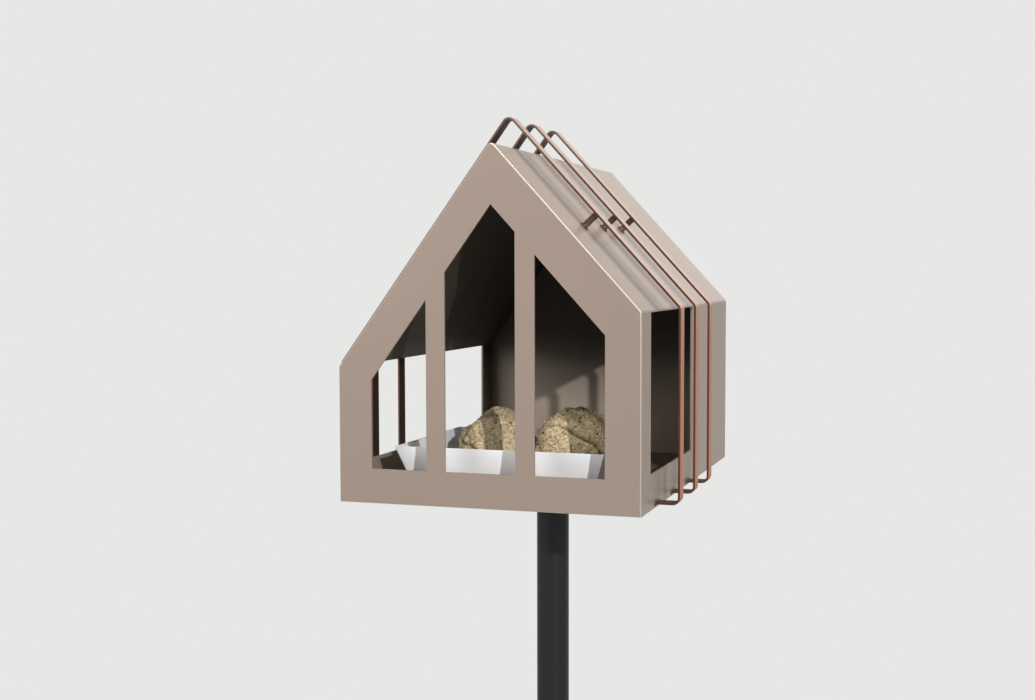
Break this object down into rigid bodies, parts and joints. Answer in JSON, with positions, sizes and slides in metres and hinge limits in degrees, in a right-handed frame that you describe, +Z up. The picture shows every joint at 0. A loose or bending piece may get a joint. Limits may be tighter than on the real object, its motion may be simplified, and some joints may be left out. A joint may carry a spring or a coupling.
{
  "type": "bird feeder on a pole",
  "caption": "Gabled sheet-metal bird feeder with gable windows and open side entries, flat-bar hoops round the house, a feed tray with suet balls, on a round pole.",
  "frame": {"origin": "centre of the pole's foot on the ground", "axes": "+Z up the pole, the gable windows face -Y, +X to the right seen from the front"},
  "size_m": [0.302, 0.364, 1.324],
  "materials": {
    "shell_metal": "satin metallic taupe lacquer on folded sheet",
    "hoop_copper": "copper-brown coated flat steel bar, lightly weathered",
    "tray_white": "white, semi-gloss",
    "suet": "rough suet with seeds",
    "pole_dark": "fine-textured anthracite powder coat",
    "cap_black": "black moulded cap"
  },
  "bodies": {
    "root": {"front_panel": "shell_metal", "back_panel": "shell_metal", "left_shell": "shell_metal", "right_shell": "shell_metal", "floor_panel": "shell_metal", "tray": "tray_white", "suet_ball_left": "suet", "suet_ball_right": "suet", "pole_flange": "pole_dark", "pole": "pole_dark", "pole_foot_cap": "cap_black", "hoop_front": "hoop_copper", "hoop_foot_front_left": "hoop_copper", "roof_post_front_left": "hoop_copper", "hoop_foot_front_right": "hoop_copper", "roof_post_front_right": "hoop_copper", "hoop_middle": "hoop_copper", "hoop_foot_middle_left": "hoop_copper", "roof_post_middle_left": "hoop_copper", "hoop_foot_middle_right": "hoop_copper", "roof_post_middle_right": "hoop_copper", "hoop_rear": "hoop_copper", "hoop_foot_rear_left": "hoop_copper", "roof_post_rear_left": "hoop_copper", "hoop_foot_rear_right": "hoop_copper", "roof_post_rear_right": "hoop_copper"}
  },
  "joints": []
}
